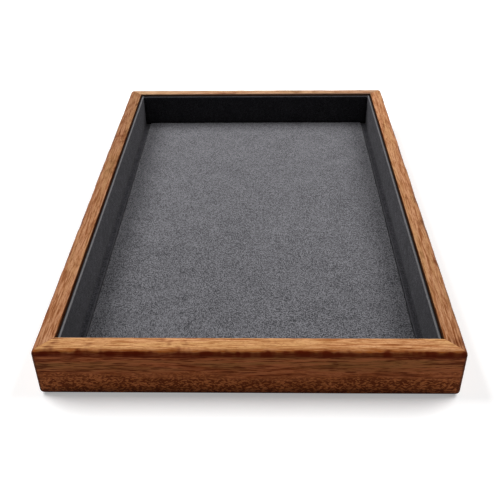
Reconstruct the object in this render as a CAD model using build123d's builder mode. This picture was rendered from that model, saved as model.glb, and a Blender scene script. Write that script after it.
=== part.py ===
"""A shallow open tray: a mitred hardwood frame, a plywood base and a suede lining.

Millimetres. X runs across the tray, Y from front to back, Z up. The origin is the
middle of the footprint, on the surface that the tray stands on.
"""

import os

from build123d import *

# Frame
width = 220.0
depth = 335.0
height = 31.0
rail_thickness = 10.5
top_radius = 3.5
foot_radius = 3.0
rim_ease = 0.4
corner_ease = 1.2

# Base panel, let into the frame from below
base_thickness = 3.0
base_recess = 0.4
rebate_width = 5.0
base_clearance = 0.3

# Loose splines that key the mitres
spline_thickness = 2.0
spline_reach = 3.5
spline_inset = 5.6
spline_foot = 6.0
spline_cover = 8.0
spline_clearance = 0.3

# Panel pins that hold the base
pin_radius = 0.5
pin_head_radius = 1.0
pin_head_height = 0.5
pin_point_height = 1.2
pin_length = 10.0
pin_end_margin = 28.0
side_pin_count = 6
end_pin_count = 4

# Lining
suede_thickness = 0.5
wall_board_thickness = 1.0
wall_clearance = 0.2
rim_drop = 1.8
lap_height = 12.0
fold_radius = 0.7
butt_clearance = 0.2

# Floor pad
floor_board_thickness = 1.5
floor_side_gap = 4.5
floor_end_gap = 0.5
flap_clearance = 0.2
pad_edge_radius = 0.7

# Sizes that follow from the ones above
half_width = width / 2
half_depth = depth / 2
base_top = base_recess + base_thickness
lining_thickness = 2 * suede_thickness + wall_board_thickness
lining_top = height - rim_drop
board_top = lining_top - suede_thickness
lined_half_width = half_width - rail_thickness - wall_clearance - lining_thickness
lined_half_depth = half_depth - rail_thickness - wall_clearance - lining_thickness
side_lining_length = depth - 2 * (rail_thickness + wall_clearance)
end_lining_length = 2 * (lined_half_width - butt_clearance)
flap_width = floor_side_gap - flap_clearance
flap_length = 2 * (lined_half_depth - butt_clearance)
pad_width = 2 * (lined_half_width - floor_side_gap)
pad_depth = 2 * (lined_half_depth - floor_end_gap)
spline_height = height - spline_cover - spline_foot
spline_middle = spline_foot + spline_height / 2
pin_line_inset = rail_thickness - rebate_width / 2

os.makedirs("parts", exist_ok=True)


def save(piece, name):
    """Label one finished piece and write its file."""
    piece.part.label = name
    export_step(piece.part, f"parts/{name}.step")


def section_plane(outward):
    """A plane square to one side of the tray: its X points outward and its Y up."""
    return Plane(origin=(0, 0, 0), x_dir=outward, z_dir=outward.cross(Vector(0, 0, 1)))


def rectangle_from(left, right, bottom, top, mode=Mode.ADD):
    """A sketch rectangle between two pairs of limits."""
    with Locations(((left + right) / 2, (bottom + top) / 2)):
        Rectangle(right - left, top - bottom, mode=mode)


def pin_points():
    """Where the panel pins stand, along the middle of the rebate on all four sides."""
    side_x = half_width - pin_line_inset
    end_y = half_depth - pin_line_inset
    side_step = (depth - 2 * pin_end_margin) / (side_pin_count - 1)
    end_step = (width - 2 * pin_end_margin) / (end_pin_count - 1)
    points = []
    for sign in (-1, 1):
        for i in range(side_pin_count):
            points.append((sign * side_x, -half_depth + pin_end_margin + i * side_step))
        for i in range(end_pin_count):
            points.append((-half_width + pin_end_margin + i * end_step, sign * end_y))
    return points


def spline_locations():
    """The middle of each mitre's spline, turned so that it crosses the joint."""
    x = half_width - spline_inset
    y = half_depth - spline_inset
    return {
        "front_left": Location((-x, -y, spline_middle), (0, 0, -45)),
        "front_right": Location((x, -y, spline_middle), (0, 0, 45)),
        "back_left": Location((-x, y, spline_middle), (0, 0, 45)),
        "back_right": Location((x, y, spline_middle), (0, 0, -45)),
    }


def make_rail(name, outward, half_span, half_length):
    """One side of the frame, with mitred ends, a rebate below and slots for splines."""
    inner_face = half_span - rail_thickness
    along = outward.cross(Vector(0, 0, 1))
    outer_middle = outward * half_span
    inner_middle = outward * inner_face
    outer_reach = along * half_length
    inner_reach = along * (half_length - rail_thickness)
    with BuildPart() as rail:
        with BuildSketch(section_plane(outward)) as section:
            rectangle_from(inner_face, half_span, 0, height)
            inner_corners, outer_corners = section.vertices().group_by(Axis.X)
            fillet(outer_corners.sort_by(Axis.Y)[-1], top_radius)
            fillet(outer_corners.sort_by(Axis.Y)[0], foot_radius)
            fillet(inner_corners.sort_by(Axis.Y)[-1], rim_ease)
            rectangle_from(inner_face, inner_face + rebate_width, 0, base_top, Mode.SUBTRACT)
        extrude(amount=half_length, both=True)
        with BuildSketch() as plan:
            Rectangle(width, depth)
            chamfer(plan.vertices(), corner_ease)
            with BuildLine():
                Polyline(
                    outer_middle - outer_reach,
                    outer_middle + outer_reach,
                    inner_middle + inner_reach,
                    inner_middle - inner_reach,
                    close=True,
                )
            make_face(mode=Mode.INTERSECT)
        extrude(amount=height, mode=Mode.INTERSECT)
        with Locations(*spline_locations().values()):
            Box(
                2 * (spline_reach + spline_clearance),
                spline_thickness,
                spline_height + 2 * spline_clearance,
                mode=Mode.SUBTRACT,
            )
        with BuildSketch(Plane.XY.offset(base_top)):
            with Locations(*pin_points()):
                Circle(pin_radius)
        extrude(amount=pin_length + base_recess - base_top, mode=Mode.SUBTRACT)
    save(rail, name)


def make_spline(name, location):
    """A slip of hardwood across one mitre, hidden inside the joint."""
    with BuildPart() as spline:
        with Locations(location):
            Box(2 * spline_reach, spline_thickness, spline_height)
    save(spline, name)


def make_wall_board(name, outward, lined_half_span, length):
    """The stiff board inside one wall of the lining, standing on the base."""
    inner = lined_half_span + suede_thickness
    outer = inner + wall_board_thickness
    with BuildPart() as board:
        with BuildSketch(section_plane(outward)):
            rectangle_from(inner, outer, base_top, board_top)
        extrude(amount=length / 2, both=True)
    save(board, name)


def make_wall_suede(name, outward, lined_half_span, length, has_flap):
    """Suede down one wall's face, folded over its top edge and a little way behind.

    On the long walls it also turns out onto the base as a narrow flap.
    """
    face_back = lined_half_span + suede_thickness
    board_back = face_back + wall_board_thickness
    lap_back = board_back + suede_thickness
    with BuildPart() as suede:
        with BuildSketch(section_plane(outward)) as section:
            rectangle_from(lined_half_span, lap_back, base_top, lining_top)
            fillet(section.vertices().group_by(Axis.Y)[-1], fold_radius)
            rectangle_from(face_back, board_back, base_top, board_top, Mode.SUBTRACT)
            lap_foot = lining_top - lap_height
            rectangle_from(board_back, lap_back, base_top, lap_foot, Mode.SUBTRACT)
        extrude(amount=length / 2, both=True)
        if has_flap:
            with BuildSketch(section_plane(outward)):
                flap_edge = lined_half_span - flap_width
                rectangle_from(flap_edge, face_back, base_top, base_top + suede_thickness)
            extrude(amount=flap_length / 2, both=True)
    save(suede, name)


# Frame rails and the splines in their mitres
left, right = Vector(-1, 0, 0), Vector(1, 0, 0)
front, back = Vector(0, -1, 0), Vector(0, 1, 0)

make_rail("front_rail", front, half_depth, half_width)
make_rail("back_rail", back, half_depth, half_width)
make_rail("left_rail", left, half_width, half_depth)
make_rail("right_rail", right, half_width, half_depth)

for corner, location in spline_locations().items():
    make_spline(f"{corner}_spline", location)

# Base panel, with a hole and a head recess for each pin
with BuildPart() as base_panel:
    base_width = width - 2 * (rail_thickness - rebate_width + base_clearance)
    base_depth = depth - 2 * (rail_thickness - rebate_width + base_clearance)
    with BuildSketch(Plane.XY.offset(base_recess)):
        Rectangle(base_width, base_depth)
        with Locations(*pin_points()):
            Circle(pin_radius, mode=Mode.SUBTRACT)
    extrude(amount=base_thickness)
    with BuildSketch(Plane.XY.offset(base_recess)):
        with Locations(*pin_points()):
            Circle(pin_head_radius)
    extrude(amount=pin_head_height, mode=Mode.SUBTRACT)
save(base_panel, "base_panel")

# Panel pins, driven up through the base into the rails
with BuildPart() as base_pins:
    with BuildSketch(Plane.XY.offset(base_recess)):
        with Locations(*pin_points()):
            Circle(pin_head_radius)
    extrude(amount=pin_head_height)
    with BuildSketch(Plane.XY.offset(base_recess + pin_head_height)):
        with Locations(*pin_points()):
            Circle(pin_radius)
    extrude(amount=pin_length - pin_head_height - pin_point_height)
    point_base = base_recess + pin_length - pin_point_height
    with Locations(*[(x, y, point_base) for x, y in pin_points()]):
        Cone(
            pin_radius,
            0.0,
            pin_point_height,
            align=(Align.CENTER, Align.CENTER, Align.MIN),
        )
save(base_pins, "base_pins")

# Wall lining: long walls run the full depth and the short walls butt between them
make_wall_board("left_wall_board", left, lined_half_width, side_lining_length)
make_wall_board("right_wall_board", right, lined_half_width, side_lining_length)
make_wall_board("front_wall_board", front, lined_half_depth, end_lining_length)
make_wall_board("back_wall_board", back, lined_half_depth, end_lining_length)

make_wall_suede("left_wall_suede", left, lined_half_width, side_lining_length, True)
make_wall_suede("right_wall_suede", right, lined_half_width, side_lining_length, True)
make_wall_suede("front_wall_suede", front, lined_half_depth, end_lining_length, False)
make_wall_suede("back_wall_suede", back, lined_half_depth, end_lining_length, False)

# Floor pad: a board between the flaps, with suede over its top and its edges
with BuildPart() as floor_board:
    with BuildSketch(Plane.XY.offset(base_top)):
        Rectangle(pad_width - 2 * suede_thickness, pad_depth - 2 * suede_thickness)
    extrude(amount=floor_board_thickness)
save(floor_board, "floor_board")

with BuildPart() as floor_suede:
    with BuildSketch(Plane.XY.offset(base_top)):
        Rectangle(pad_width, pad_depth)
    extrude(amount=floor_board_thickness + suede_thickness)
    fillet(floor_suede.faces().sort_by(Axis.Z)[-1].edges(), pad_edge_radius)
    with BuildSketch(Plane.XY.offset(base_top)):
        Rectangle(pad_width - 2 * suede_thickness, pad_depth - 2 * suede_thickness)
    extrude(amount=floor_board_thickness, mode=Mode.SUBTRACT)
save(floor_suede, "floor_suede")
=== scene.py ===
"""Looks of a shallow hardwood tray with a grey suede lining, on a white table.

The scene is in metres; sizes are written in millimetres and scaled by MM.
"""

import math

import bmesh
import bpy
from mathutils import Matrix, Vector, noise


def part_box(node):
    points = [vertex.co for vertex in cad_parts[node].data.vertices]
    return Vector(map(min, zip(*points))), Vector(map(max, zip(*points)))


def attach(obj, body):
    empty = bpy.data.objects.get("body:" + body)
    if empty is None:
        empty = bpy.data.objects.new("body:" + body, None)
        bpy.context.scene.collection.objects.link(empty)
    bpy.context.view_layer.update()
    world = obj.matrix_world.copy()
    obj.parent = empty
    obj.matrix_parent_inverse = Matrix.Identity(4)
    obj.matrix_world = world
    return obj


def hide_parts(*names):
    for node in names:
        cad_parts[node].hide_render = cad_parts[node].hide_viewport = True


MM = 0.001

# Points nearer than this, in metres, become one
WELD_REACH = 1e-7

# Camera, as solved from the photograph's straight edges
IMAGE_SIDE = 500
FOCAL_PX = 716.0
CAMERA_MM = (8.60, -430.44, 277.90)
PITCH = math.radians(35.085)
YAW = math.radians(-1.484)
ROLL = math.radians(-0.823)

# Frame rails
TOP_RADIUS = 3.4
FOOT_RADIUS = 3.0
RIM_EASE = 0.5
CORNER_RADIUS = 2.0
REBATE_WIDTH = 5.0
MITRE_GROOVE = 0.10

# Hand work: the top radius is plain near the mitres, and the skin is sanded above the underside
PLAIN_END = 4.0
WANDER_FADE = 14.0
SANDED_AWAY = 0.06
UNDERSIDE = 0.01

# How finely the rails are divided, and the edge angle that stays sharp
RAIL_STEP = 2.5
ARC_STEPS = 9
FACE_STEPS = 6
FLAT_STEPS = 4
RIM_STEPS = 4
CORNER_STEPS = 5
SHARP_ANGLE = 35.0

# Lining; its mesh is a hair thinner than the suede, to stay inside its box
SUEDE_THICKNESS = 0.5
MESH_THICKNESS = 0.49
FOLD_RADIUS = 0.7
CREASE_RADIUS = 0.5
LAP_HEIGHT = 12.0
BUTT_CLEARANCE = 0.2

# How far the pad's hollows sink, and how near its edges they fade out
PAD_SINK = 0.08
PAD_FADE = 6.0

# How finely the lining is divided, and how near a flap's end no other division stays
LINING_STEP = 2.0
STEP_SPARE = 0.8
FLAP_STEPS = 4
CREASE_STEPS = 4
WALL_STEPS = 9
FOLD_STEPS = 5
LAP_STEPS = 3

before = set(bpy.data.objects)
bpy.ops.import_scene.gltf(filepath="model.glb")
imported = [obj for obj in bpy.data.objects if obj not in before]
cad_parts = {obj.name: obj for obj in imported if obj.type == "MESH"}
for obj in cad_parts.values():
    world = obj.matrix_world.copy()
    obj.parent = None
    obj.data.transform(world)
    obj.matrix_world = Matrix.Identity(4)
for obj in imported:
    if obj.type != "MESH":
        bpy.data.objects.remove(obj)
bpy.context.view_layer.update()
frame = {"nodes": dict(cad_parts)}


def box_mm(node):
    """A node's lowest and highest corners, in millimetres."""
    low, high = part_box(node)
    return [c / MM for c in low], [c / MM for c in high]


# Sizes read from the frame
HALF_WIDTH = box_mm("right_rail")[1][0]
HALF_DEPTH = box_mm("back_rail")[1][1]
RAIL_THICKNESS = HALF_WIDTH - box_mm("right_rail")[0][0]
TOP = box_mm("front_rail")[1][2]
BASE_TOP = box_mm("base_panel")[1][2]
LINING_TOP = box_mm("left_wall_suede")[1][2]
HALF_LINED_WIDTH = min(abs(c[0]) for c in box_mm("right_wall_board")) - SUEDE_THICKNESS
HALF_LINED_DEPTH = min(abs(c[1]) for c in box_mm("back_wall_board")) - SUEDE_THICKNESS


# Mesh helpers


def mesh_object(name, vertices, faces):
    """A smooth-shaded mesh object from millimetre points."""
    mesh = bpy.data.meshes.new(name)
    mesh.from_pydata([Vector(v) * MM for v in vertices], [], faces)
    tidy = bmesh.new()
    tidy.from_mesh(mesh)
    bmesh.ops.remove_doubles(tidy, verts=tidy.verts, dist=WELD_REACH)
    bmesh.ops.recalc_face_normals(tidy, faces=tidy.faces)
    tidy.to_mesh(mesh)
    tidy.free()
    mesh.polygons.foreach_set("use_smooth", [True] * len(mesh.polygons))
    mesh.update()
    piece = bpy.data.objects.new(name, mesh)
    bpy.context.scene.collection.objects.link(piece)
    return piece


def apply_modifiers(piece):
    """Replace a piece's mesh by what its modifiers make of it."""
    graph = bpy.context.evaluated_depsgraph_get()
    made = bpy.data.meshes.new_from_object(piece.evaluated_get(graph))
    piece.modifiers.clear()
    piece.data = made
    made.polygons.foreach_set("use_smooth", [True] * len(made.polygons))


def set_material(piece, material):
    """Give a piece or a CAD node one material."""
    piece.data.materials.clear()
    piece.data.materials.append(material)


def dress(piece, node, material):
    """A piece that stands for a CAD node: its body and its finish."""
    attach(piece, "root")
    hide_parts(node)
    set_material(piece, material)


def wobble(strength, x, y, z):
    """A smooth uneven offset, up to about the strength, at a point of a noise."""
    return strength * noise.noise(Vector((x, y, z)))


def arc(centre, radius, start, end, steps=ARC_STEPS):
    """Points and outward normals along an arc, angles in degrees."""
    points = []
    for i in range(steps + 1):
        angle = math.radians(start + (end - start) * i / steps)
        normal = (math.cos(angle), math.sin(angle))
        points.append((centre[0] + radius * normal[0], centre[1] + radius * normal[1], normal))
    return points


# Frame rails


def rail_section(inner, outer, top, ledge, top_radius):
    """The closed section of a rail: distance outwards, height and normal of each point."""
    rise = (top - FOOT_RADIUS - top_radius) / FACE_STEPS
    points = arc((outer - FOOT_RADIUS, FOOT_RADIUS), FOOT_RADIUS, -90, 0)
    points += [(outer, FOOT_RADIUS + rise * i, (1, 0)) for i in range(1, FACE_STEPS)]
    points += arc((outer - top_radius, top - top_radius), top_radius, 0, 90)
    flat = (outer - top_radius - inner - RIM_EASE) / FLAT_STEPS
    points += [(outer - top_radius - flat * i, top, (0, 1)) for i in range(1, FLAT_STEPS)]
    points += arc((inner + RIM_EASE, top - RIM_EASE), RIM_EASE, 90, 180, RIM_STEPS)
    drop = (top - RIM_EASE - ledge) / FACE_STEPS
    points += [(inner, top - RIM_EASE - drop * i, (-1, 0)) for i in range(1, FACE_STEPS + 1)]
    points += [(inner + REBATE_WIDTH, ledge, (0, -1)), (inner + REBATE_WIDTH, 0, (0, -1))]
    return points


def hand_rounded(station, half_length, seed):
    """The top edge's radius at one station: shaped by hand, so it wanders between the mitres."""
    along = station[0] * half_length
    fade = min(1.0, max(0.0, (half_length - abs(along) - PLAIN_END) / WANDER_FADE))
    wander = wobble(0.9, along * 0.035 + seed, 1.0, 0.0)
    wander += wobble(0.6, along * 0.11 + seed, 5.0, 0.0)
    return TOP_RADIUS + fade * wander


def rail_stations(half_length):
    """Positions along a rail, each as its shares of the plain half-length and of the corner."""
    count = round(half_length / RAIL_STEP)
    plain = [(i / count, 0.0) for i in range(-count, count + 1)]
    corner = [i / CORNER_STEPS for i in range(1, CORNER_STEPS + 1)]
    return [(-1, -c) for c in reversed(corner)] + plain + [(1, c) for c in corner]


def rail_point(section_point, station, half_span, half_length, seed):
    """Place one point of the section at one station: mitred, eased at the corner, hand-sanded."""
    out, up, (normal_out, normal_up) = section_point
    share, corner = station
    mitre = half_length - (half_span - out)
    radius = CORNER_RADIUS * max(normal_out, 0.0)
    along = share * (mitre - CORNER_RADIUS)
    if corner:
        turn = math.radians(45 * abs(corner))
        side = math.copysign(1, corner)
        straight = (CORNER_RADIUS - radius) * abs(corner)
        along = side * (mitre - CORNER_RADIUS + straight + radius * math.sin(turn))
        out += radius * (math.cos(turn) - 1)
    sanded = wobble(0.05, along * 0.03 + seed, out * 0.2, up * 0.12)
    sanded += wobble(0.03, along * 0.25 + seed, out * 0.5, up * 0.5)
    inset = MITRE_GROOVE if abs(corner) == 1 else 0.0
    shift = sanded - SANDED_AWAY - inset if up > UNDERSIDE else 0.0
    return out + normal_out * shift, along, up + max(normal_up, 0.0) * shift


def make_rail(node, outward, seed, material):
    """A mitred rail as one closed mesh."""
    low, high = box_mm(node)
    axis = 0 if outward[0] else 1
    half_span = max(abs(low[axis]), abs(high[axis]))
    half_length = HALF_DEPTH if axis == 0 else HALF_WIDTH
    inner = min(abs(low[axis]), abs(high[axis]))
    stations = rail_stations(half_length)
    vertices, faces = [], []
    for station in stations:
        radius = hand_rounded(station, half_length, seed)
        section = rail_section(inner, half_span, high[2], BASE_TOP, radius)
        for section_point in section:
            out, along, up = rail_point(section_point, station, half_span, half_length, seed)
            if axis == 0:
                vertices.append((outward[0] * out, along, up))
            else:
                vertices.append((along, outward[1] * out, up))
    n = len(section)
    for row in range(len(stations) - 1):
        for i in range(n):
            j = (i + 1) % n
            faces.append((row * n + i, row * n + j, (row + 1) * n + j, (row + 1) * n + i))
    faces.append(tuple(range(n)))
    faces.append(tuple((len(stations) - 1) * n + i for i in range(n)))
    piece = mesh_object(node + "_body", vertices, faces)
    sharpen(piece, SHARP_ANGLE)
    dress(piece, node, material)


def sharpen(piece, angle):
    """Mark edges sharper than an angle, so that smooth shading stops at them."""
    work = bmesh.new()
    work.from_mesh(piece.data)
    for edge in work.edges:
        if len(edge.link_faces) == 2 and edge.calc_face_angle() > math.radians(angle):
            edge.smooth = False
    work.to_mesh(piece.data)
    work.free()


# Suede lining


def wall_path(inner, back, top, foot, flap_edge):
    """The visible face of a wall's suede, from the flap or foot up, over and behind."""
    path = []
    if flap_edge is not None:
        level = foot + SUEDE_THICKNESS
        flat_end = inner - CREASE_RADIUS
        for i in range(FLAP_STEPS):
            path.append((flap_edge + (flat_end - flap_edge) * i / FLAP_STEPS, level))
        centre = (flat_end, level + CREASE_RADIUS)
        path += [p[:2] for p in arc(centre, CREASE_RADIUS, -90, 0, CREASE_STEPS)]
        start = level + CREASE_RADIUS
    else:
        path.append((inner, foot))
        start = foot
    fold = top - FOLD_RADIUS
    path += [(inner, start + (fold - start) * i / WALL_STEPS) for i in range(1, WALL_STEPS)]
    path += [p[:2] for p in arc((inner + FOLD_RADIUS, fold), FOLD_RADIUS, 180, 90, FOLD_STEPS)]
    path += [p[:2] for p in arc((back - FOLD_RADIUS, fold), FOLD_RADIUS, 90, 0, FOLD_STEPS)]
    drop = fold - (top - LAP_HEIGHT)
    path += [(back, fold - drop * i / LAP_STEPS) for i in range(1, LAP_STEPS + 1)]
    return path


def evenly(half, count):
    """Places from minus half to plus half, in equal steps."""
    return [-half + 2 * half * i / count for i in range(count + 1)]


def make_wall_suede(node, outward, seed, material):
    """Suede wrapped round one wall's board, as a sheet with its thickness."""
    low, high = box_mm(node)
    axis = 0 if outward[0] else 1
    reach = [abs(low[axis]), abs(high[axis])]
    back, near = max(reach), min(reach)
    board = [abs(c[axis]) for c in box_mm(node.replace("suede", "board"))]
    inner = min(board) - SUEDE_THICKNESS
    flap_edge = near if inner - near > 1 else None
    half_length = high[1 - axis]
    path = wall_path(inner, back, high[2], low[2], flap_edge)
    flap_half = HALF_LINED_DEPTH - BUTT_CLEARANCE
    stations = evenly(half_length, round(2 * half_length / LINING_STEP))
    if flap_edge is not None:
        stations = [s for s in stations if abs(abs(s) - flap_half) > STEP_SPARE]
        stations = sorted(stations + [-flap_half, flap_half])
    vertices, faces = [], []
    for along in stations:
        for out, up in path:
            wave = wobble(0.06, along * 0.045 + seed, up * 0.09, out * 0.05)
            wave += wobble(0.03, along * 0.22 + seed, up * 0.25, 3.0)
            sunk = out - min(wave, 0.0) if out < inner + 0.1 else out
            lift = wobble(0.04, along * 0.15, seed, out)
            level = min(up + lift, high[2]) if up > high[2] - FOLD_RADIUS else up
            if axis == 0:
                vertices.append((outward[0] * sunk, along, level))
            else:
                vertices.append((along, outward[1] * sunk, level))
    n = len(path)
    first = FLAP_STEPS + CREASE_STEPS if flap_edge is not None else 0
    for row in range(len(stations) - 1):
        middle = abs(stations[row] + stations[row + 1]) / 2
        start = 0 if middle < flap_half else first
        for i in range(start, n - 1):
            faces.append((row * n + i, row * n + i + 1, (row + 1) * n + i + 1, (row + 1) * n + i))
    piece = mesh_object(node + "_cloth", vertices, faces)
    face_inwards(piece, outward)
    thicken(piece)
    dress(piece, node, material)


def face_inwards(piece, outward):
    """Turn the sheet's normals to its show side: into the tray on the wall face."""
    score = 0.0
    for polygon in piece.data.polygons:
        score += polygon.area * polygon.normal.dot(Vector(outward)) * show_side(polygon, outward)
    if score > 0:
        piece.data.flip_normals()


def show_side(polygon, outward):
    """Weight 1 for the wall face, which lies deepest in the tray, and 0 elsewhere."""
    centre = polygon.center.dot(Vector(outward)) / MM
    return 1.0 if centre < (HALF_LINED_WIDTH if outward[0] else HALF_LINED_DEPTH) + 0.3 else 0.0


def thicken(piece):
    """Give a sheet the suede's thickness, behind its show side."""
    solid = piece.modifiers.new("thickness", "SOLIDIFY")
    solid.thickness = MESH_THICKNESS * MM
    solid.offset = -1
    solid.use_even_offset = True
    apply_modifiers(piece)


def make_floor_suede(node, material):
    """The floor pad's suede: nearly flat, its edges turned down round the board."""
    low, high = box_mm(node)
    half = [high[0], high[1]]
    top = high[2]
    edge = [p[:2] for p in arc((0, -FOLD_RADIUS), FOLD_RADIUS, 90, 0, FOLD_STEPS)]
    flat = [h - FOLD_RADIUS for h in half]
    xs, ys = [evenly(f, round(2 * f / LINING_STEP)) for f in flat]
    vertices, faces = [], []
    index = {}
    for j, y in enumerate(ys):
        for i, x in enumerate(xs):
            fade = min(1.0, (flat[0] - abs(x)) / PAD_FADE, (flat[1] - abs(y)) / PAD_FADE)
            swell = wobble(0.12, x * 0.02, y * 0.02, 5.0)
            swell += wobble(0.05, x * 0.09, y * 0.09, 9.0)
            index[i, j] = len(vertices)
            vertices.append((x, y, top + min(swell - PAD_SINK, 0.0) * max(fade, 0.0)))
    for j in range(len(ys) - 1):
        for i in range(len(xs) - 1):
            faces.append((index[i, j], index[i + 1, j], index[i + 1, j + 1], index[i, j + 1]))
    ring = [(i, 0) for i in range(len(xs))]
    ring += [(len(xs) - 1, j) for j in range(1, len(ys))]
    ring += [(i, len(ys) - 1) for i in range(len(xs) - 2, -1, -1)]
    ring += [(0, j) for j in range(len(ys) - 2, 0, -1)]
    loop = [index[k] for k in ring]
    skirt = edge[1:] + [(FOLD_RADIUS, low[2] - top)]
    for out, down in skirt:
        fresh = []
        for k in ring:
            x, y = xs[k[0]], ys[k[1]]
            side_x = (k[0] == len(xs) - 1) - (k[0] == 0)
            side_y = (k[1] == len(ys) - 1) - (k[1] == 0)
            turn = math.sqrt(2) if side_x and side_y else 1.0
            fresh.append(len(vertices))
            vertices.append((x + side_x * out / turn, y + side_y * out / turn, top + down))
        for a in range(len(ring)):
            b = (a + 1) % len(ring)
            faces.append((loop[a], fresh[a], fresh[b], loop[b]))
        loop = fresh
    piece = mesh_object(node + "_cloth", vertices, faces)
    if sum(p.normal.z * p.area for p in piece.data.polygons) < 0:
        piece.data.flip_normals()
    thicken(piece)
    dress(piece, node, material)


# Materials


class Shader:
    """A small helper that wires one Principled material."""

    def __init__(self, name, roughness, specular=0.5):
        self.material = bpy.data.materials.new(name)
        self.material.use_nodes = True
        self.nodes = self.material.node_tree.nodes
        self.links = self.material.node_tree.links
        self.principled = self.nodes["Principled BSDF"]
        self.principled.inputs["Roughness"].default_value = roughness
        self.principled.inputs["Specular IOR Level"].default_value = specular
        self.coordinates = self.nodes.new("ShaderNodeTexCoord").outputs["Object"]

    def feed(self, socket, value):
        """Link an output to a socket, or set the socket's plain value."""
        if isinstance(value, bpy.types.NodeSocket):
            self.links.new(value, socket)
        else:
            socket.default_value = value

    def stretched(self, scale, offset=(0, 0, 0), source=None):
        """Object coordinates, or another vector, in millimetres and scaled along each axis."""
        node = self.nodes.new("ShaderNodeMapping")
        node.inputs["Scale"].default_value = [s / MM for s in scale]
        node.inputs["Location"].default_value = offset
        self.links.new(self.coordinates if source is None else source, node.inputs["Vector"])
        return node.outputs["Vector"]

    def noise(self, vector, detail=3.0, roughness=0.5, distortion=0.0):
        """A smooth noise between 0 and 1, in the vector's own steps."""
        node = self.nodes.new("ShaderNodeTexNoise")
        node.inputs["Scale"].default_value = 1.0
        node.inputs["Detail"].default_value = detail
        node.inputs["Roughness"].default_value = roughness
        node.inputs["Distortion"].default_value = distortion
        self.links.new(vector, node.inputs["Vector"])
        return node.outputs["Fac"]

    def swayed(self, sway, reach_mm):
        """Object coordinates whose height wanders by a noise, so that marks lean to and fro."""
        lift = self.nodes.new("ShaderNodeCombineXYZ")
        self.feed(lift.inputs["Z"], self.ramp(sway, 0.25, 0.75, -reach_mm * MM, reach_mm * MM))
        moved = self.nodes.new("ShaderNodeVectorMath")
        self.links.new(self.coordinates, moved.inputs[0])
        self.links.new(lift.outputs["Vector"], moved.inputs[1])
        return moved.outputs["Vector"]

    def ramp(self, value, low, high, out_low=0.0, out_high=1.0):
        """A clamped map of a value from one range to another."""
        node = self.nodes.new("ShaderNodeMapRange")
        node.inputs["From Min"].default_value = low
        node.inputs["From Max"].default_value = high
        node.inputs["To Min"].default_value = out_low
        node.inputs["To Max"].default_value = out_high
        self.links.new(value, node.inputs["Value"])
        return node.outputs["Result"]

    def math(self, operation, a, b=0.0):
        node = self.nodes.new("ShaderNodeMath")
        node.operation = operation
        self.feed(node.inputs[0], a)
        self.feed(node.inputs[1], b)
        return node.outputs["Value"]

    def plus(self, a, b):
        return self.math("ADD", a, b)

    def minus(self, a, b):
        return self.math("SUBTRACT", a, b)

    def times(self, a, b):
        return self.math("MULTIPLY", a, b)

    def mix(self, factor, a, b, blend="MIX"):
        """Colour a, blended with colour b by the factor."""
        node = self.nodes.new("ShaderNodeMix")
        node.data_type = "RGBA"
        node.blend_type = blend
        self.feed(node.inputs["Factor"], factor)
        self.feed(node.inputs["A"], a)
        self.feed(node.inputs["B"], b)
        return node.outputs["Result"]

    def bump(self, height, strength, distance_mm):
        """A normal that follows the slopes of a height."""
        node = self.nodes.new("ShaderNodeBump")
        node.inputs["Strength"].default_value = strength
        node.inputs["Distance"].default_value = distance_mm * MM
        self.links.new(height, node.inputs["Height"])
        return node.outputs["Normal"]

    def place_mm(self):
        """The object coordinates X, Y and Z, each in millimetres."""
        node = self.nodes.new("ShaderNodeSeparateXYZ")
        self.links.new(self.coordinates, node.inputs["Vector"])
        return [self.math("DIVIDE", node.outputs[axis], MM) for axis in "XYZ"]

    def finish(self, colour, normal, roughness=None):
        """Wire the outputs to the surface, and give the material."""
        self.links.new(colour, self.principled.inputs["Base Color"])
        self.links.new(normal, self.principled.inputs["Normal"])
        if roughness is not None:
            self.links.new(roughness, self.principled.inputs["Roughness"])
        return self.material


def colour(red, green, blue):
    """A colour at full opacity."""
    return (red, green, blue, 1.0)


def along_grain(axis, lengthwise, across, upwards):
    """A scale triple with its lengthwise value on the grain's axis."""
    if axis == 0:
        return (lengthwise, across, upwards)
    return (across, lengthwise, upwards)


def board_mix(s, upper, lit_top_tone, shaded_side_tone):
    """A function that makes one shade of a board from its colours on the sides and on top: painted
    shade on the sides and painted light on top.
    """

    def shade(side, top):
        side = [c * t for c, t in zip(side, shaded_side_tone)]
        top = [c * t for c, t in zip(top, lit_top_tone)]
        return s.mix(upper, colour(*side), colour(*top))

    return shade


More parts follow.
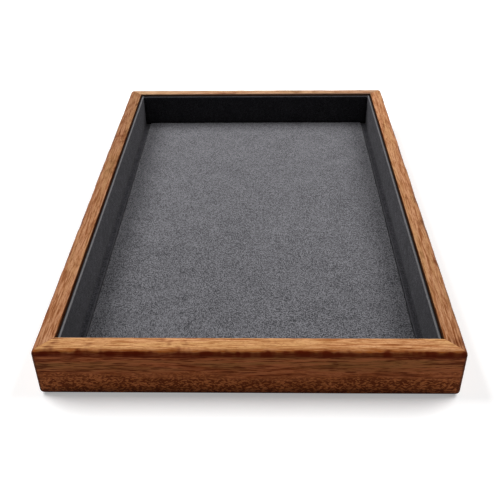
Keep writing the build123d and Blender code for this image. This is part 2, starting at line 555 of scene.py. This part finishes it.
def rail_wood(name, axis, seed, lit_top_tone, shaded_side_tone, marks, drift, arris, inner_shade):
    """Oiled reddish hardwood: streaks and fine lines along the grain, curled flecks low down.

    The tones tint the board's top and its sides, as painted light on top and painted shade on the
    sides, and marks is how strong its dark marks are, its painted shade where the edge turns, under
    the edge and at the foot, and its darker ends. The drift is the board's shade towards its two
    ends. The arris is how wide its inner top edge takes the painted shade of the inner face,
    towards the same two ends.
    """
    s = Shader(name, roughness=0.45, specular=0.02)
    shift = (seed * 7.3, seed * 3.1, seed * 5.7)
    place = s.place_mm()
    height, along, across = place[2], place[axis], s.math("ABSOLUTE", place[1 - axis])
    end = HALF_DEPTH if axis else HALF_WIDTH
    inner = (HALF_WIDTH if axis else HALF_DEPTH) - RAIL_THICKNESS
    from_end = s.math("ABSOLUTE", along)

    # The figure, from broad ribbons down to flecks
    ribbons = s.noise(s.stretched(along_grain(axis, 0.012, 0.20, 0.22), shift), 2, 0.5, 0.5)
    streaks = s.noise(s.stretched(along_grain(axis, 0.050, 0.85, 0.62), shift), 3, 0.6, 0.5)
    lines = s.noise(s.stretched(along_grain(axis, 0.10, 1.7, 1.6), shift), 2, 0.6, 0.4)
    specks = s.noise(s.stretched(along_grain(axis, 0.55, 1.5, 1.3), shift), 2, 0.6, 0.8)
    sway = s.noise(s.stretched(along_grain(axis, 0.38, 0.38, 0.10), shift), 1, 0.5)
    curls = s.stretched(along_grain(axis, 0.55, 1.45, 1.40), shift, s.swayed(sway, 0.8))
    flecks = s.noise(curls, 1, 0.5, 0.2)

    # Where the sides' painted shade gives way to the top's painted light, on an uneven line round
    # the edge
    waver = s.noise(s.stretched(along_grain(axis, 0.055, 0.055, 0.01), shift), 3, 0.65)
    wander = s.plus(s.ramp(waver, 0.25, 0.75, -1.3, 1.3), s.ramp(streaks, 0.3, 0.7, -0.3, 0.3))
    upper = s.ramp(s.plus(height, wander), TOP - 1.45, TOP - 0.4)
    shade = board_mix(s, upper, lit_top_tone, shaded_side_tone)
    # Each colour pairs a shaded copy for the sides with a lit copy for the top
    light = shade((0.40, 0.120, 0.045), (0.59, 0.312, 0.148))
    middle = shade((0.28, 0.070, 0.020), (0.44, 0.190, 0.072))
    deep = shade((0.11, 0.015, 0.002), (0.22, 0.064, 0.014))
    dark = shade((0.060, 0.006, 0.000), (0.27, 0.092, 0.026))
    olive = shade((0.26, 0.105, 0.032), (0.55, 0.300, 0.120))
    ground = shade((0.50, 0.155, 0.048), (0.55, 0.27, 0.11))
    # Painted shade for where the rounded edge turns away from the light
    painted_turn_shade = shade((0.30, 0.062, 0.001), (0.30, 0.062, 0.001))
    shadow = shade((0.09, 0.008, 0.001), (0.09, 0.008, 0.001))

    # Streaks, olive bands in the upper half, and fine lines
    base = s.mix(s.ramp(streaks, 0.44, 0.58), middle, light)
    base = s.mix(s.ramp(streaks, 0.48, 0.38, 0.0, 0.8), base, deep)
    upland = s.times(s.ramp(height, 15.0, 21.0), s.ramp(ribbons, 0.45, 0.58))
    base = s.mix(s.times(upland, 0.8), base, olive)
    base = s.mix(s.ramp(lines, 0.46, 0.38, 0.0, 0.6), base, light)
    line_mask = s.ramp(lines, 0.52, 0.61, 0.0, 0.8)
    base = s.mix(line_mask, base, dark)

    # Curled flecks low on the face, and specks on top
    figure = s.plus(height, s.ramp(ribbons, 0.3, 0.7, -4.0, 4.0))
    low_down = s.ramp(figure, 17.0, 12.0, 0.0, 0.90 * marks)
    base = s.mix(s.times(low_down, 0.7), base, ground)
    base = s.mix(s.times(low_down, s.ramp(flecks, 0.43, 0.52, 0.0, 0.9)), base, dark)
    base = s.mix(s.times(upper, s.ramp(specks, 0.50, 0.64, 0.0, 0.35)), base, deep)

    # The rounded edge, with painted shade where it turns, and the board's own drift
    turned = s.times(upper, s.ramp(height, TOP - 0.05, TOP - 1.0, 0.0, 0.95 * marks))
    base = s.mix(turned, base, painted_turn_shade)
    base = s.mix(1.0, base, s.ramp(along, -0.7 * end, 0.7 * end, *drift), "MULTIPLY")

    # The painted shade line under the edge, painted shade at the foot, the darker ends, and painted
    # shade on the inner arris
    band = s.plus(height, s.ramp(streaks, 0.3, 0.7, -0.7, 0.7))
    edge = s.times(s.ramp(band, TOP - 4.6, TOP - 3.4), s.ramp(upper, 0.9, 0.1))
    edge = s.times(edge, s.ramp(waver, 0.62, 0.45, 0.5 * marks, 0.95 * marks))
    base = s.mix(edge, base, shadow)
    # Painted shade along the foot, where the tray meets the table
    foot = s.plus(
        s.ramp(height, 6.5, 2.2, 0.0, 0.55 * marks),
        s.ramp(height, 2.4, 0.9, 0.0, 0.40 * marks),
    )
    tip = s.ramp(from_end, end - 2.2, end - 0.7, 0.0, 0.92 * marks)
    tip = s.times(tip, s.ramp(upper, 0.6, 0.0))
    base = s.mix(s.math("MAXIMUM", foot, tip), base, colour(0.02, 0.003, 0.002))
    # Painted shade on the inner face and inner arris, which stand in the gap by the lining
    reach = s.ramp(along, -0.7 * end, 0.9 * end, *arris)
    inside = s.ramp(s.minus(s.minus(across, inner), reach), 0.25, 0.0, 0.0, 0.9)
    base = s.mix(inside, base, colour(*inner_shade))

    relief = s.minus(s.times(streaks, 0.6), line_mask)
    rough = s.ramp(streaks, 0.3, 0.7, 0.40, 0.55)
    return s.finish(base, s.bump(relief, 0.5, 0.10), rough)


def raw_wood(name, axis, dark, light):
    """Unfinished wood with a straight fine grain."""
    s = Shader(name, roughness=0.75, specular=0.25)
    grain = s.noise(s.stretched(along_grain(axis, 0.02, 0.5, 0.5)), 4, 0.6, 0.5)
    fibres = s.noise(s.stretched(along_grain(axis, 0.12, 3.0, 3.0)), 3, 0.6)
    base = s.mix(s.ramp(grain, 0.3, 0.7), colour(*dark), colour(*light))
    base = s.mix(s.ramp(fibres, 0.55, 0.75, 0.0, 0.4), base, colour(*[c * 0.45 for c in dark]))
    return s.finish(base, s.bump(fibres, 0.35, 0.08))


def suede(name, dark, light, sheen):
    """Napped grey suede: brushed mottling, a fine short pile and a little sheen.

    Gives the shader, its colour and its bumped normal, for the maker to go on with.
    """
    s = Shader(name, roughness=0.95, specular=0.10)
    s.principled.inputs["Sheen Weight"].default_value = sheen
    s.principled.inputs["Sheen Roughness"].default_value = 0.40
    brushed = s.noise(s.stretched((0.07, 0.07, 0.07)), 3, 0.6, 0.8)
    mottle = s.noise(s.stretched((0.60, 0.48, 0.60)), 2, 0.6, 0.5)
    pile = s.noise(s.stretched((1.5, 1.15, 1.5)), 1, 0.5, 0.3)
    tone = s.plus(s.times(brushed, 0.10), s.times(mottle, 0.30))
    tone = s.plus(tone, s.times(pile, 0.60))
    base = s.mix(s.ramp(tone, 0.40, 0.60), colour(*dark), colour(*light))
    relief = s.plus(s.times(mottle, 0.5), pile)
    return s, base, s.bump(relief, 0.6, 0.25)


def pad_suede():
    """The floor pad's suede, with painted shade in the two front corners and painted light towards
    the back.
    """
    dark = (0.022, 0.022, 0.025)
    s, base, normal = suede("pad_suede", dark, (0.180, 0.177, 0.192), 0.40)
    x, y, _ = s.place_mm()
    sideways = s.ramp(s.math("ABSOLUTE", x), 40, 92)
    painted_corner_shade = s.times(sideways, s.ramp(y, -70, -150, 0.0, 0.30))
    base = s.mix(painted_corner_shade, base, colour(*dark))
    # Painted light, growing towards the back
    base = s.mix(1.0, base, s.ramp(y, -120, 110, 0.98, 1.16), "MULTIPLY")
    return s.finish(base, normal)


def wall_suede(name, axis, tone, fold_highlight, flap_shade):
    """The walls' darker suede: brushed to and fro, with a painted highlight on the fold.

    The wall faces along the axis. Its flap, if it has one, lies darker than the wall, partly by
    painted shade, and has painted light again where it meets the pad.
    """
    dark, light = [[c * tone for c in pair] for pair in ((0.022,) * 3, (0.112, 0.107, 0.124))]
    s, base, normal = suede(name, dark, light, 0.08)
    place = s.place_mm()
    height, across = place[2], s.math("ABSOLUTE", place[axis])
    inner = HALF_LINED_DEPTH if axis else HALF_LINED_WIDTH
    strokes = s.noise(s.stretched((0.16, 0.16, 0.10)), 2, 0.6, 1.5)
    base = s.mix(s.ramp(strokes, 0.38, 0.62, 0.0, 0.5), base, colour(0.024, 0.024, 0.028))

    # Painted shade in the crease above the flap, on the flap, and near the front
    painted_crease_shade = s.times(s.ramp(height, 4.0, 4.4), s.ramp(height, 6.6, 4.6))
    base = s.mix(s.times(painted_crease_shade, 0.45), base, colour(0.015, 0.015, 0.017))
    # The flap's darker tone, partly painted shade at the wall's foot
    base = s.mix(s.ramp(height, 4.6, 4.0, 0.0, flap_shade), base, colour(0.015, 0.015, 0.017))
    # Painted shade towards the front of the wall
    base = s.mix(s.ramp(place[1], -70, -150, 0.0, 0.45), base, colour(0.008, 0.008, 0.010))
    # Painted light on the flap beside the pad, in place of the shade in their gap
    painted_light_by_pad = s.ramp(across, inner - 2.6, inner - 3.8, 0.0, 0.5)
    flap = s.times(s.ramp(height, 4.4, 4.0), painted_light_by_pad)
    base = s.mix(flap, base, colour(0.150, 0.146, 0.160))

    # The fold's painted highlight, and painted shade on its half towards the rail
    over = s.ramp(height, LINING_TOP - 0.5, LINING_TOP - 0.1)
    base = s.mix(s.times(over, fold_highlight), base, colour(0.200, 0.196, 0.200))
    # Painted shade on the fold's far half, in the dark gap by the wood
    behind = s.times(over, s.ramp(across, inner + 0.9, inner + 1.4))
    base = s.mix(behind, base, colour(0.010, 0.010, 0.011))
    return s.finish(base, normal)


def board_material():
    """Pressed grey board with fibre flecks."""
    s = Shader("grey_board", roughness=0.9, specular=0.2)
    fibres = s.noise(s.stretched((0.9, 0.9, 0.9)), 4, 0.7)
    base = s.mix(s.ramp(fibres, 0.35, 0.65), colour(0.24, 0.23, 0.21), colour(0.42, 0.40, 0.37))
    return s.finish(base, s.bump(fibres, 0.3, 0.1))


def pin_material():
    """Dull steel with a brushed, slightly spotted surface."""
    s = Shader("pin_steel", roughness=0.35)
    s.principled.inputs["Metallic"].default_value = 1.0
    spots = s.noise(s.stretched((3.0, 3.0, 3.0)), 3, 0.6)
    base = s.mix(s.ramp(spots, 0.35, 0.65), colour(0.42, 0.41, 0.40), colour(0.62, 0.61, 0.60))
    return s.finish(base, s.bump(spots, 0.2, 0.03), s.ramp(spots, 0.3, 0.7, 0.28, 0.5))


# Pieces

# Each side of the tray, and the way that it faces
SIDES = {"front": (0, -1), "back": (0, 1), "left": (-1, 0), "right": (1, 0)}

# The painted shade of the inner faces: nearly black in the gap, and brown where the camera looks in
GAP_SHADE = (0.035, 0.010, 0.004)
BACK_INNER_SHADE = (0.20, 0.11, 0.07)

# Each board's looks, against the front one; the tones are partly painted light and shade, with the
# side tops darkened by painted shade, most on the left, and the back top paled by a painted sheen
BOARD_LOOKS = {
    "front": {
        "lit_top_tone": (1.0, 1.0, 1.0),
        "shaded_side_tone": (1.0, 1.0, 1.0),
        "marks": 1.0,
        "drift": (1.0, 1.0),
        "arris": (0.1, 0.1),
        "inner_shade": GAP_SHADE,
    },
    "back": {
        "lit_top_tone": (0.90, 1.04, 1.38),
        "shaded_side_tone": (1.00, 1.40, 1.45),
        "marks": 0.45,
        "drift": (1.02, 0.95),
        "arris": (0.3, 1.9),
        "inner_shade": BACK_INNER_SHADE,
    },
    "left": {
        "lit_top_tone": (0.67, 0.64, 0.71),
        "shaded_side_tone": (0.92, 1.22, 1.30),
        "marks": 0.50,
        "drift": (1.10, 0.86),
        "arris": (0.1, 0.1),
        "inner_shade": GAP_SHADE,
    },
    "right": {
        "lit_top_tone": (0.76, 0.74, 0.82),
        "shaded_side_tone": (0.92, 1.27, 1.35),
        "marks": 0.50,
        "drift": (0.98, 1.17),
        "arris": (0.1, 0.1),
        "inner_shade": GAP_SHADE,
    },
}

# Each wall's tone, partly painted shade with the back wall darkest as it faces away from the
# lights, how strong the painted highlight on its fold is, and how much painted shade darkens its
# flap
WALL_LOOKS = {
    "front": {"tone": 0.7, "fold_highlight": 0.4, "flap_shade": 0.0},
    "back": {"tone": 0.55, "fold_highlight": 0.02, "flap_shade": 0.0},
    "left": {"tone": 0.80, "fold_highlight": 0.60, "flap_shade": 0.25},
    "right": {"tone": 0.93, "fold_highlight": 0.50, "flap_shade": 0.45},
}

for seed, (side, (x, y)) in enumerate(SIDES.items()):
    grain_axis = 0 if y else 1
    wood = rail_wood(f"{side}_rail_wood", grain_axis, seed + 1, **BOARD_LOOKS[side])
    make_rail(f"{side}_rail", (x, y, 0), seed * 40.0, wood)

for seed, (side, (x, y)) in enumerate(SIDES.items()):
    wall = f"{side}_wall_suede"
    facing_axis = 1 if y else 0
    make_wall_suede(wall, (x, y, 0), seed * 17.0, wall_suede(wall, facing_axis, **WALL_LOOKS[side]))
make_floor_suede("floor_suede", pad_suede())

nodes = frame["nodes"]
grey_board = board_material()
for side in SIDES:
    set_material(nodes[f"{side}_wall_board"], grey_board)
set_material(nodes["floor_board"], grey_board)
ply_face = raw_wood("ply_face", 1, (0.42, 0.27, 0.15), (0.62, 0.45, 0.28))
set_material(nodes["base_panel"], ply_face)
spline_wood = raw_wood("spline_wood", 0, (0.36, 0.20, 0.10), (0.52, 0.33, 0.18))
for corner in ("front_left", "front_right", "back_left", "back_right"):
    set_material(nodes[f"{corner}_spline"], spline_wood)
set_material(nodes["base_pins"], pin_material())


# Table, surround, lights and camera

# The table's shade, and how far it is lifted to plain white where the camera sees it
TABLE_GREY = 0.82
TABLE_LIFT = 0.36

# Metres: half the table's side, and how far it lies below the tray
TABLE_REACH = 1.1
TABLE_DROP = 0.0001

SURROUND_LIGHT = 0.03

# Two soft lights, at 1 on the right and at -1 mirrored to the left; metres and watts
SOFTBOX_PLACE = (2.1, 1.08, 2.4)
SOFTBOX_SIZE = (2.0, 2.4)
SOFTBOX_POWER = {-1: 143.1, 1: 126.9}


def seen_directly(nodes, links):
    """1 for the camera's rays and for those that gloss or glass sends on, else 0."""
    path = nodes.new("ShaderNodeLightPath")
    seen = path.outputs["Is Camera Ray"]
    for kind in ("Is Glossy Ray", "Is Transmission Ray"):
        both = nodes.new("ShaderNodeMath")
        both.operation = "MAXIMUM"
        links.new(seen, both.inputs[0])
        links.new(path.outputs[kind], both.inputs[1])
        seen = both.outputs["Value"]
    return seen


def stage_material():
    """White table that keeps a shadow, lifted to plain white for the camera's own rays."""
    material = bpy.data.materials.new("white_table")
    material.use_nodes = True
    nodes, links = material.node_tree.nodes, material.node_tree.links
    nodes.remove(nodes["Principled BSDF"])
    diffuse = nodes.new("ShaderNodeBsdfDiffuse")
    diffuse.inputs["Color"].default_value = colour(TABLE_GREY, TABLE_GREY, TABLE_GREY)
    lift = nodes.new("ShaderNodeEmission")
    lift.inputs["Color"].default_value = colour(1, 1, 1)
    strength = nodes.new("ShaderNodeMath")
    strength.operation = "MULTIPLY"
    strength.inputs[1].default_value = TABLE_LIFT
    links.new(seen_directly(nodes, links), strength.inputs[0])
    links.new(strength.outputs["Value"], lift.inputs["Strength"])
    add = nodes.new("ShaderNodeAddShader")
    links.new(diffuse.outputs["BSDF"], add.inputs[0])
    links.new(lift.outputs["Emission"], add.inputs[1])
    links.new(add.outputs["Shader"], nodes["Material Output"].inputs["Surface"])
    return material


def make_table():
    """A flat white square that the tray stands on."""
    reach = TABLE_REACH
    mesh = bpy.data.meshes.new("table")
    corners = [(-reach, -reach, 0), (reach, -reach, 0), (reach, reach, 0), (-reach, reach, 0)]
    mesh.from_pydata(corners, [], [(0, 1, 2, 3)])
    table = bpy.data.objects.new("table", mesh)
    bpy.context.scene.collection.objects.link(table)
    table.location.z = -TABLE_DROP
    set_material(table, stage_material())


def make_softbox(side, power):
    """A rectangular soft light high on one side, facing straight down."""
    data = bpy.data.lights.new(f"softbox_{side}", "AREA")
    data.shape = "RECTANGLE"
    data.size, data.size_y = SOFTBOX_SIZE
    data.energy = power
    light = bpy.data.objects.new(data.name, data)
    light.location = (SOFTBOX_PLACE[0] * side, *SOFTBOX_PLACE[1:])
    light.rotation_euler = Vector((0, 0, -1)).to_track_quat("-Z", "Y").to_euler()
    bpy.context.scene.collection.objects.link(light)


def make_world():
    """A dim surround for light, and plain white where the camera sees past the table."""
    world = bpy.data.worlds.new("surround")
    bpy.context.scene.world = world
    world.use_nodes = True
    nodes, links = world.node_tree.nodes, world.node_tree.links
    background = nodes["Background"]
    background.inputs["Color"].default_value = colour(1, 1, 1)
    strength = nodes.new("ShaderNodeMapRange")
    strength.inputs["To Min"].default_value = SURROUND_LIGHT
    strength.inputs["To Max"].default_value = 1.0
    links.new(seen_directly(nodes, links), strength.inputs["Value"])
    links.new(strength.outputs["Result"], background.inputs["Strength"])


def make_camera():
    """The photograph's viewpoint."""
    forward = Vector(
        (math.sin(YAW) * math.cos(PITCH), math.cos(YAW) * math.cos(PITCH), -math.sin(PITCH))
    )
    level = Vector((math.cos(YAW), -math.sin(YAW), 0))
    upright = level.cross(forward)
    right = math.cos(ROLL) * level + math.sin(ROLL) * upright
    up = -math.sin(ROLL) * level + math.cos(ROLL) * upright
    turn = Matrix((right, up, -forward)).transposed()
    data = bpy.data.cameras.new("camera")
    data.sensor_fit = "HORIZONTAL"
    data.sensor_width = 36.0
    data.lens = FOCAL_PX / IMAGE_SIDE * data.sensor_width
    data.clip_start = 0.01
    camera = bpy.data.objects.new("camera", data)
    camera.matrix_world = Matrix.Translation(Vector(CAMERA_MM) * MM) @ turn.to_4x4()
    bpy.context.scene.collection.objects.link(camera)
    bpy.context.scene.camera = camera


make_table()
for side, power in SOFTBOX_POWER.items():
    make_softbox(side, power)
make_world()
make_camera()
bpy.context.scene.view_settings.view_transform = "Standard"
